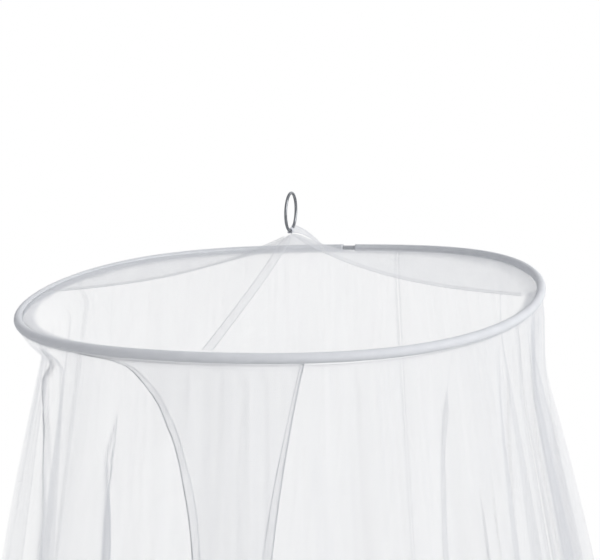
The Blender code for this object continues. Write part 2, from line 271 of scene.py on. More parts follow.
# Painted light on the two front gores, painted shade on the two back ones.
GORE_PAINTED_LIGHT_AND_SHADE = (0.62, 2.2, 2.2, 0.62)
TAPE_DENSITY = 0.9
TAPE_EDGE = (0.86, 0.07)  # where a tape's dense edge starts, and over how much of its half width
LEANING_TAPE = 4.0
GATHER_EASE = 0.05
GATHERED = (
    ("skirt_left", (-56.0, -63.3, -60.8, -59.8), 1.5, 0.0, 2.6),
    ("skirt_left", (-88.0, -90.0, -92.0, -92.0), 34.0, 0.0, -0.75),
    ("skirt_right", (66.0, 66.0, 65.0, 64.0), 13.0, 0.0, 1.5),
    ("skirt_left", (-43.0, -43.0, -43.0, -43.0), 8.0, 0.0, 0.45),
    ("skirt_front", (20.0, 20.0, 20.0, 20.0), 20.0, 0.0, 0.25),
    ("skirt_left", (-30.0, -30.0, -30.0, -30.0), 26.0, 0.0, -0.12),
    ("skirt_front", (44.0, 45.0, 46.0, 46.0), 16.0, 0.0, 0.6),
    ("skirt_front", (5.0, 5.5, 6.2, 7.4), 2.6, 0.12, 0.8),
)

# --- Shape functions, on whole arrays ---


def from_azimuth(azimuth):
    """Angle from +X in radians."""
    return np.radians(np.asarray(azimuth, float) - 90)


def azimuth_gap(azimuth, middle):
    """Signed distance between two azimuths, the short way round."""
    return (azimuth - middle + 180) % 360 - 180


def lobe(offset, half_width):
    """A smooth bump: the squared cosine of a quarter turn, 1 in the middle and 0 from half_width outwards."""
    share = np.clip(np.abs(offset) / half_width, 0, 1)
    return np.cos(share * pi / 2) ** 2


def smooth(value):
    """An even rise from 0 to 1: three squares less two cubes of the value held between 0 and 1."""
    value = np.clip(value, 0, 1)
    return value * value * (3 - 2 * value)


def hoop_height(turn):
    """Height of the hoop's centreline: a tilt, as a cosine of the turn, and two gentle waves."""
    height = HOOP_Z + HOOP_TILT * np.cos(turn)
    for waves, size, phase in HOOP_LOBES:
        height = height + size * np.cos(waves * (turn - radians(phase)))
    return height


def round_the_hoop(turn, radius, around):
    """A tube round the hoop: at each turn, a circle of the given radius in the upright plane through the
    axis."""
    reach = HOOP_RADIUS + radius * np.cos(around)
    return np.stack(
        np.broadcast_arrays(
            HOOP_X + reach * np.cos(turn),
            reach * np.sin(turn),
            hoop_height(turn) + radius * np.sin(around),
        ),
        axis=-1,
    )


def seams_passed(azimuth):
    """How many seams lie between the front one and an azimuth, with the share of the gore it is in."""
    stops = [seam["azimuth"] for seam in ROOF_SEAMS] + [ROOF_SEAMS[0]["azimuth"] + 360]
    return np.interp((azimuth - stops[0]) % 360 + stops[0], stops, range(len(stops)))


def roof_point(azimuth, share):
    """Middle of the roof cloth at an azimuth and a share of the way from the peak to the sleeve.

    A straight run from peak to sleeve, less the seams' slack times a half sine, less the sag between seams
    times a half sine, with a smooth lift where the cloth climbs to the sleeve.
    """
    azimuth, share = np.broadcast_arrays(np.asarray(azimuth, float), np.asarray(share, float))
    turn = from_azimuth(azimuth)
    clear = SLEEVE_RADIUS + NET_ROOM / 2 + PIECE_GAP
    edge_drop = ROOF_EDGE_DROP * np.cos(turn)
    reach = HOOP_RADIUS - np.sqrt(clear**2 - edge_drop**2)
    edge_z = hoop_height(turn) - edge_drop
    lift = ROOF_RIM_LIFT + ROOF_RIM_LIFT_TILT * np.cos(turn)
    passed = seams_passed(azimuth)
    slack = [seam["slack"] for seam in ROOF_SEAMS] + [ROOF_SEAMS[0]["slack"]]
    height = PEAK_Z + (edge_z - lift - PEAK_Z) * share
    height = height + lift * smooth((share - 1 + ROOF_RIM_SHARE) / ROOF_RIM_SHARE)
    height = height - np.interp(passed, range(len(slack)), slack) * np.sin(pi * share**0.8)
    height = height - ROOF_GORE_SAG * np.abs(np.sin(pi * passed)) * np.sin(pi * share)
    return np.stack([(HOOP_X + reach * np.cos(turn)) * share, reach * np.sin(turn) * share, height], axis=-1)


def skirt_radius(azimuth, depth, first_crease=-180):
    """Distance of the net from the hoop's axis: an easing flare, less every crease that deepens as a power of
    the fall, less what the two sides are drawn in."""
    flare = FLARE + FLARE_TO_RIGHT * np.sin(np.radians(azimuth))
    radius = HOOP_RADIUS + flare * (depth - FLARE_EASE * depth**2)
    fall = np.clip(depth / SKIRT_DROP, 0, None)
    for crease in CREASES:
        if crease["azimuth"] < first_crease:
            continue
        middle = crease["azimuth"] + crease["drift"] * fall
        half = crease["top_half_width"] + (crease["half_width"] - crease["top_half_width"]) * fall
        radius = radius - crease["depth"] * fall**FOLD_GROWTH * lobe(azimuth_gap(azimuth, middle), half)
    for side in DRAW_INS:
        drawn_in = side["inward"] * smooth(depth / side["full_depth"]) * np.exp(-depth / side["fade"])
        radius = radius - drawn_in * lobe(azimuth_gap(azimuth, side["azimuth"]), side["half_width"])
    return radius


def wave_table(count, waves, size, seed):
    """Waves round the hoop with whole numbers of turns, so that they close: number, size, phase and drift."""
    draw = np.random.default_rng(seed)
    number = np.round(draw.uniform(*waves, count))
    height = size * draw.uniform(0.5, 1.2, count)
    phase = draw.uniform(0, 2 * pi, count)
    drift = draw.uniform(-9, 9, count)
    return np.stack([number, height, phase, drift], axis=-1)


GATHERS = wave_table(GATHER_WAVES, GATHER_RANGE, GATHER_SIZE, WAVE_SEED)
LOOSE = wave_table(LOOSE_WAVES, LOOSE_RANGE, LOOSE_SIZE, WAVE_SEED + 1)


def fine_folds(azimuth, depth):
    """Height of the small folds over the main ones: gathers that die away below the sleeve, and loose waves
    that grow with the square root of depth. Each is a cosine of the turn, whose phase wanders a little with
    depth."""
    turn = np.radians(azimuth)
    height = np.zeros(np.broadcast(azimuth, depth).shape)
    for number, size, phase, drift in GATHERS:
        wave = np.cos(number * turn + phase + drift * depth)
        height = height + size * wave * (0.35 + np.exp(-depth / GATHER_FADE))
    for number, size, phase, drift in LOOSE:
        wave = np.cos(number * turn + phase + drift * np.sqrt(depth + 0.05))
        crest = (0.5 + 0.5 * wave) ** 2 - 0.375
        height = height + size * crest * np.sqrt(np.clip(depth, 0, None))
    return height * smooth(depth / 0.02)


def fold_route(route, depth):
    """Azimuth of a fold at each depth: straight runs between its four stated azimuths."""
    return np.interp(depth, FOLD_DEPTHS, route)


def fold_shift(panel_name, azimuth, depth, radius):
    """How far the folds carry the cloth sideways (degrees) and outwards (m), and how dense their edges
    look.

    Sideways it is FOLD_RUN_BACK times s times e to the minus s squared, with s the distance from the fold
    in overlap widths. As that is over 1, the middle runs backwards, so the net lies in three layers there.
    Outwards it is the same curve, which keeps the layers apart. The two turned edges are narrow bells of
    density.
    """
    sideways, outwards, edges = (np.zeros_like(azimuth) for _ in range(3))
    for fold in FOLDS:
        if fold["panel"] != panel_name:
            continue
        middle = fold_route(fold["route"], depth)
        opened = smooth((depth - fold["start"]) / fold["opening"])
        width = (fold["width"] + (fold["open_width"] - fold["width"]) * opened) / FOLD_BELL
        width = width + FOLD_GROWS_BY * np.clip(depth - FOLD_GROWS_BELOW, 0, None)
        distance = np.radians(azimuth_gap(azimuth, middle)) * radius / width
        bell = distance * np.exp(-distance**2)
        sideways = sideways - np.degrees(FOLD_RUN_BACK * width * bell / radius) * opened
        outwards = outwards + fold["over"] * FOLD_LIFT * bell * opened
        creased = smooth((depth - fold["start"]) / fold["opening"] * FOLD_CREASE_HASTE)
        line = np.exp(-(((np.abs(distance) - FOLD_TURN) / FOLD_LINE) ** 2))
        edges = edges + fold["edge"] * creased * line
    return sideways, outwards, edges


def cloth_density(panel, azimuth, depth):
    """How close the threads look on a panel: 1, more at the sleeve's seam, where it is gathered and in
    folds."""
    density = 1 + SEAM_DENSITY * np.exp(-depth / SEAM_DENSE_DEPTH)
    for name, route, half_width, start, amount in GATHERED:
        if name == panel["name"]:
            gap = azimuth_gap(azimuth, fold_route(route, depth))
            density = density + amount * lobe(gap, half_width) * smooth(1 + (depth - start) / GATHER_EASE)
    radius = skirt_radius(azimuth, depth, panel["first"])
    return density + fold_shift(panel["name"], azimuth, depth, radius)[2]


def free_edge(panel, depth):
    """How far left of its hem azimuth a leaning edge lies: a sum of leans, each dying away with depth."""
    return panel["leans"] * sum(lean * np.exp(-depth / fade) for lean, fade in FREE_EDGE_LEANS)


def panel_azimuth(panel, across, depth):
    """Azimuth of a panel's columns: even from edge to edge, and near a hanging edge less its lean."""
    left, right = panel["left"], panel["right"]
    inner_edge = INNER_EDGE_START * np.exp(-depth / INNER_EDGE_DEPTH) if panel["name"] == "skirt_left" else 0
    azimuth = left + (right + inner_edge - left) * across
    return azimuth - free_edge(panel, depth) * np.clip(1 - across / FREE_EDGE_COLUMNS_SHARE, 0, 1)


def skirt_point(panel, azimuth, depth, inwards=0.0):
    """Middle of a skirt panel's cloth: the main form with its folds and fine waves, moved inwards a little."""
    radius = skirt_radius(azimuth, depth, panel["first"])
    top, hem = panel["stand_off"]
    whole, gone = STAND_OFF_AZIMUTHS
    laps = smooth((gone - azimuth) / (gone - whole))
    radius = radius + (top + (hem - top) * depth / SKIRT_DROP) * laps + fine_folds(azimuth, depth)
    sideways, outwards, _ = fold_shift(panel["name"], azimuth, depth, radius)
    turn = from_azimuth(azimuth + sideways)
    radius = radius + outwards - inwards
    height = hoop_height(turn) - SLEEVE_RADIUS - PIECE_GAP - depth
    return np.stack([HOOP_X + radius * np.cos(turn), radius * np.sin(turn), height], axis=-1)


def folded_edge(columns, fold_width):
    """Even distances from an edge along its turned-under side, from fold_width down towards 0."""
    return np.linspace(fold_width, 0, columns, endpoint=False)


def skirt_grid(panel):
    """Points and density of a panel, its side edges and its bottom turned under.

    Rows run from the sleeve to the hem, closer together at the top, then back up inside the hem. Columns run
    from inside the left edge's fold, across the panel, and back inside the right edge's fold.
    """
    fall = np.linspace(0, 1, SKIRT_ROWS + 1) ** SKIRT_ROW_SPREAD
    down = SKIRT_DROP * fall
    up = SKIRT_DROP - folded_edge(SKIRT_HEM_ROWS, BOTTOM_HEM)[::-1]
    depth = np.append(down, up)[:, None]
    under_hem = np.append(np.zeros(SKIRT_ROWS + 1), np.ones(SKIRT_HEM_ROWS))[:, None] * FOLD_UNDER_GAP

    hem_width = radians(panel["right"] - panel["left"]) * (HOOP_RADIUS + FLARE * SKIRT_DROP)
    across = np.linspace(0, 1, ceil(hem_width / SKIRT_COLUMN) + 1)[None, :]
    azimuth = panel_azimuth(panel, across, depth)
    radius = skirt_radius(azimuth, depth, panel["first"])
    azimuth = azimuth + np.degrees(SKIRT_SEAM_GAP / 2 / radius) * (1 - 2 * across)

    left_fold, right_fold = side_folds(panel, depth)
    places = np.array(EDGE_PLACES)[None, :]
    left_side = np.degrees(places * left_fold / radius[:, :1])
    right_side = np.degrees(places[:, ::-1] * right_fold / radius[:, -1:])
    azimuth = np.concatenate([azimuth[:, :1] + left_side, azimuth, azimuth[:, -1:] - right_side], axis=1)
    under_side = np.full(SIDE_COLUMNS, FOLD_UNDER_GAP)
    inwards = under_hem + np.concatenate([under_side, np.zeros(across.shape[1]), under_side])[None, :]

    depth = np.broadcast_to(depth, azimuth.shape)
    density = cloth_density(panel, azimuth, depth)
    on_edge = np.isin(np.arange(azimuth.shape[1]), (0, SIDE_COLUMNS))
    strength = EDGE_DENSITY if panel["name"] == "skirt_front" else PLAIN_EDGE_DENSITY
    density = density + strength * on_edge[None, :]
    strength = np.full_like(depth, PLAIN_EDGE_DENSITY)
    if panel["name"] == "skirt_left":
        strength = INNER_LINE_DENSITY * np.exp(-((depth / INNER_LINE_FADE) ** 2)) + EDGE_DENSITY / 2
    density = density + strength * on_edge[None, ::-1]
    return skirt_point(panel, azimuth, depth, inwards), density


def side_folds(panel, depth):
    """Widths of the turned-under edges: hems at the entry, seam allowances elsewhere. The inner hem lies
    twisted under the sleeve and widens on its way down."""
    widths = np.full((2, *depth.shape), SEAM_ALLOWANCE)
    if panel["name"] == "skirt_front":
        widths[0] = EDGE_HEM
    if panel["name"] == "skirt_left":
        narrow, growth = INNER_HEM_WIDTH
        widths[1] = EDGE_HEM * (narrow + growth * smooth(depth / INNER_HEM_OPENS))
    return widths


def flat_coordinates(points):
    """Cloth coordinates in metres: lengths along each row from the middle column, and along the middle
    column."""
    steps = np.linalg.norm(np.diff(points, axis=1), axis=2)
    along = np.concatenate([np.zeros((len(points), 1)), np.cumsum(steps, axis=1)], axis=1)
    middle = points.shape[1] // 2
    along = along - along[:, middle : middle + 1]
    falls = np.linalg.norm(np.diff(points[:, middle], axis=0), axis=1)
    down = np.append(0, np.cumsum(falls))[:, None]
    return np.stack(np.broadcast_arrays(along, -down), axis=-1)


def grid_faces(rows, columns, close_rows=False, close_columns=False):
    """Quads of a grid of rows x columns points, joined end to end where it is closed."""
    row = np.arange(rows if close_rows else rows - 1)[:, None]
    column = np.arange(columns if close_columns else columns - 1)[None, :]
    next_row, next_column = (row + 1) % rows, (column + 1) % columns
    corners = [row * columns + column, next_row * columns + column]
    corners += [next_row * columns + next_column, row * columns + next_column]
    return np.stack(corners, axis=-1).reshape(-1, 4)


# --- Meshes and pieces ---


def mesh_piece(name, points, faces, finish, flat=None, density=None):
    """A smooth-shaded object from arrays, with its cloth coordinates in metres as a UV map, and how much
    closer than usual the threads lie at each point as the point attribute named below, since plain "density"
    is kept for smoke. On the roof's gores this closeness also paints light at the front, and shade at the
    back and along the rim."""
    mesh = bpy.data.meshes.new(name)
    mesh.from_pydata(points.reshape(-1, 3).tolist(), [], faces.tolist())
    if flat is not None:
        uv = mesh.uv_layers.new(name="cloth")
        uv.data.foreach_set("uv", flat.reshape(-1, 2)[faces.ravel()].astype(np.float32).ravel())
    if density is not None:
        attribute = mesh.attributes.new("thread_density_and_painted_shade", "FLOAT", "POINT")
        attribute.data.foreach_set("value", density.astype(np.float32).ravel())
    mesh.materials.append(finish)
    mesh.shade_smooth()
    piece = bpy.data.objects.new(name, mesh)
    bpy.context.scene.collection.objects.link(piece)
    return piece


def give_thickness(piece, thickness, offset=0.0):
    """A sheet becomes a wall: half each side of it, or all inside it with an offset of -1."""
    wall = piece.modifiers.new("thickness", "SOLIDIFY")
    wall.thickness = thickness
    wall.offset = offset


def keep(piece, node):
    """The piece rides on the part's one body and stands for a CAD node, which is hidden."""
    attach(piece, "root")
    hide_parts(node)
    return piece


# --- Materials ---

# The knit's streaks, and the share of the light on a thread that passes through it.
STREAK_WIDTH = 0.006
STREAK_LENGTH = 0.3
STREAK_AMOUNT = 0.5
THROUGH_SHARE = 0.45
THREAD_BLUR = 0.12  # how soft a thread's side is drawn, in thread widths


def linear(colour):
    """A linear RGBA from an sRGB hex text."""
    channels = np.array([int(colour[i : i + 2], 16) for i in (1, 3, 5)]) / 255
    low, high = channels / 12.92, ((channels + 0.055) / 1.055) ** 2.4
    return (*np.where(channels <= 0.04045, low, high), 1.0)


def add(tree, kind, settings=None, links=None):
    """A node with its settings (property names) and its inputs (by name or number: a value, or a socket)."""
    node = tree.nodes.new(kind)
    for key, value in (settings or {}).items():
        setattr(node, key, value)
    for key, value in (links or {}).items():
        if isinstance(value, bpy.types.NodeSocket):
            tree.links.new(value, node.inputs[key])
        else:
            node.inputs[key].default_value = value
    return node


def new_material(name):
    material = bpy.data.materials.new(name)
    material.use_nodes = True
    material.node_tree.nodes.clear()
    return material, material.node_tree


def maths(tree, operation, first, second=0.0, third=0.0):
    """One sum on sockets or numbers."""
    return add(tree, "ShaderNodeMath", {"operation": operation}, {0: first, 1: second, 2: third}).outputs[0]


def vector_maths(tree, operation, first, second=(0, 0, 0)):
    node = add(tree, "ShaderNodeVectorMath", {"operation": operation}, {0: first, 1: second})
    return node.outputs["Value" if operation in ("DOT_PRODUCT", "LENGTH") else "Vector"]


def hexagon_edge(tree, place, pitch):
    """Distance in pitches from a point of the cloth to the nearest side of its hexagonal mesh.

    Two offset rectangular lattices hold the centres of the meshes. The nearer centre is kept, and the
    distance to a side is half the pitch less the larger of x and half x plus 0.866 y.
    """
    cell = (pitch, pitch * 3**0.5, 1.0)
    half = (pitch / 2, pitch * 3**0.5 / 2, 0.5)
    far = (60, 60, 0)  # keeps every remainder positive
    here = vector_maths(tree, "MODULO", vector_maths(tree, "ADD", place, far), cell)
    one = vector_maths(tree, "SUBTRACT", here, half)
    shifted = vector_maths(tree, "ADD", place, (far[0] + half[0], far[1] + half[1], 0))
    other = vector_maths(tree, "SUBTRACT", vector_maths(tree, "MODULO", shifted, cell), half)
    first, second = (vector_maths(tree, "MULTIPLY", centre, (1, 1, 0)) for centre in (one, other))
    nearer = maths(tree, "LESS_THAN", vector_maths(tree, "DOT_PRODUCT", first, first),
                   vector_maths(tree, "DOT_PRODUCT", second, second))
    kept = add(tree, "ShaderNodeMix", {"data_type": "VECTOR"}, {"Factor": nearer, 4: second, 5: first})
    kept = vector_maths(tree, "ABSOLUTE", kept.outputs[1])
    slanted = vector_maths(tree, "DOT_PRODUCT", kept, (0.5, 3**0.5 / 2, 0))
    upright = vector_maths(tree, "DOT_PRODUCT", kept, (1, 0, 0))
    return maths(tree, "SUBTRACT", pitch / 2, maths(tree, "MAXIMUM", slanted, upright))


def net_material(name, colour, pitch, thread, sheen):
    """Knitted polyester mosquito net: matt white threads round open six-sided holes.

    The light goes round and through the threads, so the cloth takes its brightness from both sides. The
    knit is slightly uneven in long upright streaks, which the eye sees as faint stripes, and it looks
    denser in folds, seams and hems, where the threads lie closer. The same density paints light on the
    roof's front gores, and shade on its back gores and along its rim.
    """
    material, tree = new_material(name)
    place = add(tree, "ShaderNodeUVMap", {"uv_map": "cloth"}).outputs["UV"]
    stretched = (1 / STREAK_WIDTH, 1 / STREAK_LENGTH, 1)
    streaks = add(tree, "ShaderNodeMapping", {}, {"Vector": place, "Scale": stretched}).outputs[0]
    uneven = add(tree, "ShaderNodeTexNoise", {"noise_dimensions": "2D"},
                 {"Vector": streaks, "Scale": 1.0, "Detail": 2.0, "Roughness": 0.6}).outputs[0]
    density_and_painted_shade = add(tree, "ShaderNodeAttribute", {"attribute_name": "thread_density_and_painted_shade"}).outputs["Fac"]
    evenly = thread * (0.5 - STREAK_AMOUNT / 2)
    half_thread = maths(tree, "MULTIPLY_ADD", uneven, thread * STREAK_AMOUNT, evenly)
    # The density widens each thread: closer threads in folds, seams and hems, and on the roof painted light
    # and painted shade.
    half_thread = maths(tree, "MULTIPLY", half_thread, density_and_painted_shade)
    edge = hexagon_edge(tree, place, pitch)
    covered = add(tree, "ShaderNodeMapRange", {}, {
        "Value": maths(tree, "SUBTRACT", half_thread, edge),
        "From Min": -thread * THREAD_BLUR, "From Max": thread * THREAD_BLUR,
    }).outputs[0]
    front = add(tree, "ShaderNodeBsdfPrincipled", {}, {
        "Base Color": colour, "Roughness": 0.75, "Specular IOR Level": 0.25, "Sheen Weight": sheen,
        "Sheen Roughness": 0.4,
    }).outputs[0]
    through = add(tree, "ShaderNodeBsdfTranslucent", {}, {"Color": colour}).outputs[0]
    threads = add(tree, "ShaderNodeMixShader", {}, {0: THROUGH_SHARE, 1: front, 2: through}).outputs[0]
    holes = add(tree, "ShaderNodeBsdfTransparent").outputs[0]
    surface = add(tree, "ShaderNodeMixShader", {}, {0: covered, 1: holes, 2: threads}).outputs[0]
    add(tree, "ShaderNodeOutputMaterial", {}, {"Surface": surface})
    return material


def woven_material(name, colour, shade, pitch, through=0.12):
    """Close-woven polyester, slightly glossy. Its crossing threads are a bump, and the weave is also painted
    into the colour: lighter on the crowns as painted highlight, darker between the threads as painted shade.
    """
    material, tree = new_material(name)
    place = add(tree, "ShaderNodeUVMap", {"uv_map": "cloth"}).outputs["UV"]
    scaled = vector_maths(tree, "MULTIPLY", place, (2 * pi / pitch, 2 * pi / pitch, 0))
    split = add(tree, "ShaderNodeSeparateXYZ", {}, {0: scaled})
    warp, weft = maths(tree, "SINE", split.outputs[0]), maths(tree, "SINE", split.outputs[1])
    weave = maths(tree, "MULTIPLY", warp, weft)
    cloudy = add(tree, "ShaderNodeTexNoise", {"noise_dimensions": "2D"},
                 {"Vector": place, "Scale": 55.0, "Detail": 3.0, "Roughness": 0.6}).outputs[0]
    # The weave's share paints the crowns lighter and the gaps darker (painted highlight and painted shade);
    # the cloudy noise is a random tone of the cloth.
    painted_weave_and_mottle = maths(tree, "MULTIPLY_ADD", weave, 0.18, cloudy)
    paint = add(tree, "ShaderNodeMix", {"data_type": "RGBA"}, {"Factor": painted_weave_and_mottle, 6: shade, 7: colour})
    bump = add(tree, "ShaderNodeBump", {}, {"Height": weave, "Strength": 0.25, "Distance": 0.00015})
    front = add(tree, "ShaderNodeBsdfPrincipled", {}, {
        "Base Color": paint.outputs[2], "Roughness": 0.6, "Specular IOR Level": 0.35, "Sheen Weight": 0.15,
        "Normal": bump.outputs[0],
    }).outputs[0]
    back = add(tree, "ShaderNodeBsdfTranslucent", {}, {"Color": colour}).outputs[0]
    surface = add(tree, "ShaderNodeMixShader", {}, {0: through, 1: front, 2: back}).outputs[0]
    add(tree, "ShaderNodeOutputMaterial", {}, {"Surface": surface})
    return material


def steel_material(name, colour):
    """Drawn and welded mild-steel wire: dull grey, with faint lengthwise unevenness in its gloss."""
    material, tree = new_material(name)
    place = add(tree, "ShaderNodeTexCoord").outputs["Object"]
    grain = add(tree, "ShaderNodeTexNoise", {}, {"Vector": place, "Scale": 420.0, "Detail": 4.0}).outputs[0]
    gloss = add(tree, "ShaderNodeMapRange", {}, {"Value": grain, "To Min": 0.22, "To Max": 0.42}).outputs[0]
    patches = add(tree, "ShaderNodeTexNoise", {}, {"Vector": place, "Scale": 130.0, "Detail": 2.0}).outputs[0]
    paint = add(tree, "ShaderNodeMix", {"data_type": "RGBA"},
                {"Factor": patches, 6: linear("#6f7174"), 7: colour})
    surface = add(tree, "ShaderNodeBsdfPrincipled", {}, {
        "Base Color": paint.outputs[2], "Metallic": 1.0, "Roughness": gloss,
    }).outputs[0]
    add(tree, "ShaderNodeOutputMaterial", {}, {"Surface": surface})
    return material


def plain_material(name, colour, roughness):
    """One colour with a slight mottle: an extruded plastic rod, satin to the eye, or spun polyester sewing
    thread, whose fine twist leaves it matt."""
    material, tree = new_material(name)
    place = add(tree, "ShaderNodeTexCoord").outputs["Object"]
    mottle = add(tree, "ShaderNodeTexNoise", {}, {"Vector": place, "Scale": 90.0}).outputs[0]
    paint = add(tree, "ShaderNodeMix", {"data_type": "RGBA"},
                {"Factor": mottle, 6: linear("#a3a5a8"), 7: colour})
    shine = {"Base Color": paint.outputs[2], "Roughness": roughness}
    surface = add(tree, "ShaderNodeBsdfPrincipled", {}, shine)
    add(tree, "ShaderNodeOutputMaterial", {}, {"Surface": surface.outputs[0]})
    return material


def finish(name):
    """The named material, made the first time it is asked for."""
    found = bpy.data.materials.get(name)
    if found:
        return found
    look = bpy.context.scene.canopy_looks
    makers = {
        "white_net": lambda: net_material(name, look.net_colour, look.mesh_pitch, look.thread, 0.0),
        "white_sleeve_cloth": lambda: woven_material(name, look.sleeve_colour, look.weave_painted_shade, 0.0012),
        "white_tape": lambda: woven_material(name, look.tape_colour, look.weave_painted_shade, 0.001, 0.25),
        "sewing_thread": lambda: plain_material(name, look.tape_colour, 0.7),
        "welded_steel_wire": lambda: steel_material(name, look.steel_colour),
        "grey_plastic_rod": lambda: plain_material(name, look.rod_colour, 0.4),
    }
    return makers[name]()


# --- Settings ---


def colour_property(name, description, default):
    return FloatVectorProperty(
        name=name, description=description, subtype="COLOR", size=4, min=0, max=1, default=linear(default)
    )


class CanopyLooks(bpy.types.PropertyGroup):
    """Finishes of the canopy's cloth, wire and rod."""

    net_colour: colour_property("Net", "Colour of the net's threads", "#e6e7e9")
    sleeve_colour: colour_property("Sleeve", "Colour of the cloth round the hoop", "#e6e7e9")
    # Painted shade: this colour is mixed in between the weave's threads on the sleeve and the tapes.
    weave_painted_shade: colour_property("Sleeve shade", "Colour between the threads of the woven cloths", "#d9dbde")
    tape_colour: colour_property("Tape", "Colour of the peak loop and the sewing thread", "#e9eaee")
    steel_colour: colour_property("Ring", "Colour of the ring's steel", "#a4a6a9")
    rod_colour: colour_property("Rod", "Colour of the hoop's rod", "#b9bbbe")
    mesh_pitch: FloatProperty(
        name="Mesh pitch",
        description="Width of one hole of the net, drawn a little coarser than the real 1.6 mm",
        default=0.002, min=0.001, max=0.01, unit="LENGTH", precision=4,
    )
    thread: FloatProperty(
        name="Thread", description="Width of the net's threads, drawn to keep the real share of open net",
        default=0.000105, min=0.00002, max=0.001, unit="LENGTH", precision=5,
    )


class CanopySizes(bpy.types.PropertyGroup):
    """How finely the round pieces are made, and the sewing."""

    stitch: FloatProperty(
        name="Stitch", description="Length of one stitch", default=0.0032, min=0.001, max=0.01, unit="LENGTH",
        precision=4,
    )
    turn_steps: IntProperty(
        name="Steps", description="Steps round the hoop and the ring", default=360, min=60, max=720
    )
    tube_sides: IntProperty(
        name="Sides", description="Sides of the tubes' round sections", default=20, min=8, max=48
    )


# --- Operators ---


class CANOPY_OT_stage(bpy.types.Operator):
    """Add the pale floor, the soft studio light and the camera."""

    bl_idname = "canopy.stage"
    bl_label = "Stage"

    def execute(self, context):
        self.make_floor(context)
        self.make_light(context)
        self.make_camera(context)
        context.scene.view_settings.view_transform = "Standard"
        context.scene.cycles.transparent_max_bounces = 64
        return {"FINISHED"}

    def make_floor(self, context):
        low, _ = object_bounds()
        half, height = 60.0, low.z - 0.03
        across = ((-half, -half), (half, -half), (half, half), (-half, half))
        corners = np.array([(x, y, height) for x, y in across])
        material, tree = new_material("pale_floor")
        matt = add(tree, "ShaderNodeBsdfDiffuse", {}, {"Color": linear("#e4e4e4")}).outputs[0]
        seen = add(tree, "ShaderNodeLightPath").outputs["Is Camera Ray"]
        lit = add(tree, "ShaderNodeEmission", {}, {"Color": (1, 1, 1, 1), "Strength": 1.0}).outputs[0]
        both = add(tree, "ShaderNodeMixShader", {}, {0: seen, 1: matt, 2: lit}).outputs[0]
        add(tree, "ShaderNodeOutputMaterial", {}, {"Surface": both})
        mesh_piece("floor", corners, np.array([[0, 1, 2, 3]]), material)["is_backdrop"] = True

    def make_light(self, context):
        """A white surround for the eye, dimmer as a light, and three wide lamps: overhead, right and back
        right."""
        world = bpy.data.worlds.new("studio")
        world.use_nodes = True
        tree = world.node_tree
        tree.nodes.clear()
        seen = add(tree, "ShaderNodeLightPath").outputs["Is Camera Ray"]
        fill, white = (
            add(tree, "ShaderNodeBackground", {}, {"Color": linear(colour), "Strength": strength}).outputs[0]
            for colour, strength in (("#f5f7fd", 0.52), ("#ffffff", 1.0))
        )
        both = add(tree, "ShaderNodeMixShader", {}, {0: seen, 1: fill, 2: white}).outputs[0]
        add(tree, "ShaderNodeOutputWorld", {}, {"Surface": both})
        context.scene.world = world
        for name, azimuth, elevation, strength, angle in (
            ("overhead", 0, 88, 0.25, 80),
            ("key", 64, 22, 2.25, 55),
            ("rim", 150, 24, 0.45, 60),
        ):
            lamp = bpy.data.lights.new(name, "SUN")
            lamp.energy = strength
            lamp.angle = radians(angle)
            holder = bpy.data.objects.new(name, lamp)
            holder.rotation_euler = (radians(90 - elevation), 0, radians(azimuth))
            context.scene.collection.objects.link(holder)

    def make_camera(self, context):
        data = bpy.data.cameras.new("camera")
        data.lens, data.sensor_width = 71.4, 36
        data.clip_start, data.clip_end = 0.05, 300
        camera = bpy.data.objects.new("camera", data)
        camera.location = (-0.0156, -1.4558, 0.1934)
        camera.rotation_euler = (radians(90 - 11.676), 0, radians(-1.059))
        context.scene.collection.objects.link(camera)
        context.scene.camera = camera


class CANOPY_OT_ring(bpy.types.Operator):
    """Build the steel ring: a round wire bent to a circle, with the weld where its ends meet."""

    bl_idname = "canopy.ring"
    bl_label = "Hanging ring"

    def execute(self, context):
        """A circle turned about the upright axis; the wire swells by a narrow bell at the weld."""
        sizes = context.scene.canopy_sizes
        turn = np.linspace(0, 2 * pi, sizes.turn_steps // 2, endpoint=False)[:, None]
        around = np.linspace(0, 2 * pi, sizes.tube_sides, endpoint=False)[None, :]
        weld = np.exp(-((np.degrees(turn) - 205) / 4) ** 2)
        wire = RING_WIRE_RADIUS * (1 + 0.06 * weld * (1 + 0.5 * np.cos(3 * around)))
        wire = wire * (1 - 0.012 * (1 - weld))
        reach = RING_RADIUS + wire * np.cos(around)
        across, up, out = reach * np.cos(turn), reach * np.sin(turn), wire * np.sin(around)
        points = np.stack([
            across * sin(RING_TURN) + out * cos(RING_TURN),
            across * cos(RING_TURN) - out * sin(RING_TURN),
            RING_CENTRE_Z + up,
        ], axis=-1)
        faces = grid_faces(*points.shape[:2], True, True)
        keep(mesh_piece("ring", points, faces, finish("welded_steel_wire")), "hang_ring")
        return {"FINISHED"}


class CANOPY_OT_hoop(bpy.types.Operator):
    """Build the rod inside the sleeve."""

    bl_idname = "canopy.hoop"
    bl_label = "Hoop rod"

    def execute(self, context):
        """A round tube along the hoop's centreline."""
        sizes = context.scene.canopy_sizes
        turn = np.linspace(0, 2 * pi, sizes.turn_steps, endpoint=False)[:, None]
        around = np.linspace(0, 2 * pi, sizes.tube_sides, endpoint=False)[None, :]
        points = round_the_hoop(turn, HOOP_ROD_RADIUS, around)
        faces = grid_faces(*points.shape[:2], True, True)
        keep(mesh_piece("rod", points, faces, finish("grey_plastic_rod")), "hoop")
        return {"FINISHED"}


